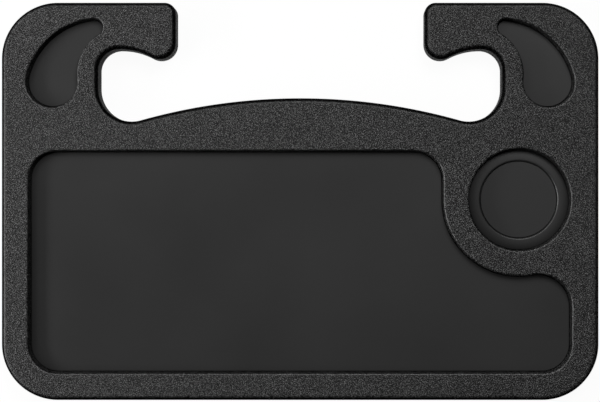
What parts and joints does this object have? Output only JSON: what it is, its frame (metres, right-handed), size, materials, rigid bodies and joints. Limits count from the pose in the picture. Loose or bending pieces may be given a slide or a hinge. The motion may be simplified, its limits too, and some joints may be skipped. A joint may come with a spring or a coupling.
{
  "type": "steering wheel tray",
  "caption": "Flat black tray that hooks onto a car's steering wheel, with a smooth desk recess, a stepped round cup well and a comma-shaped pocket in each arm.",
  "frame": {"origin": "centre of the tray's outline, on the surface that its back rests on", "axes": "+X across the tray towards the cup well, +Y towards the hooks, +Z out of the desk side"},
  "size_m": [0.425, 0.283, 0.02],
  "materials": {
    "grained_plastic": "coarse spark-eroded grain",
    "satin_plastic": "smooth satin",
    "screw_steel": "zinc plated"
  },
  "bodies": {
    "root": {"front_shell": "grained_plastic", "back_shell": "grained_plastic", "desk_panel": "satin_plastic", "left_pocket_panel": "satin_plastic", "right_pocket_panel": "satin_plastic", "reverse_panel": "satin_plastic", "cup_ring": "satin_plastic", "cup_pad": "satin_plastic", "screw_01": "screw_steel", "screw_02": "screw_steel", "screw_03": "screw_steel", "screw_04": "screw_steel", "screw_05": "screw_steel", "screw_06": "screw_steel", "screw_07": "screw_steel", "screw_08": "screw_steel", "screw_09": "screw_steel", "screw_10": "screw_steel", "screw_11": "screw_steel", "screw_12": "screw_steel"}
  },
  "joints": []
}
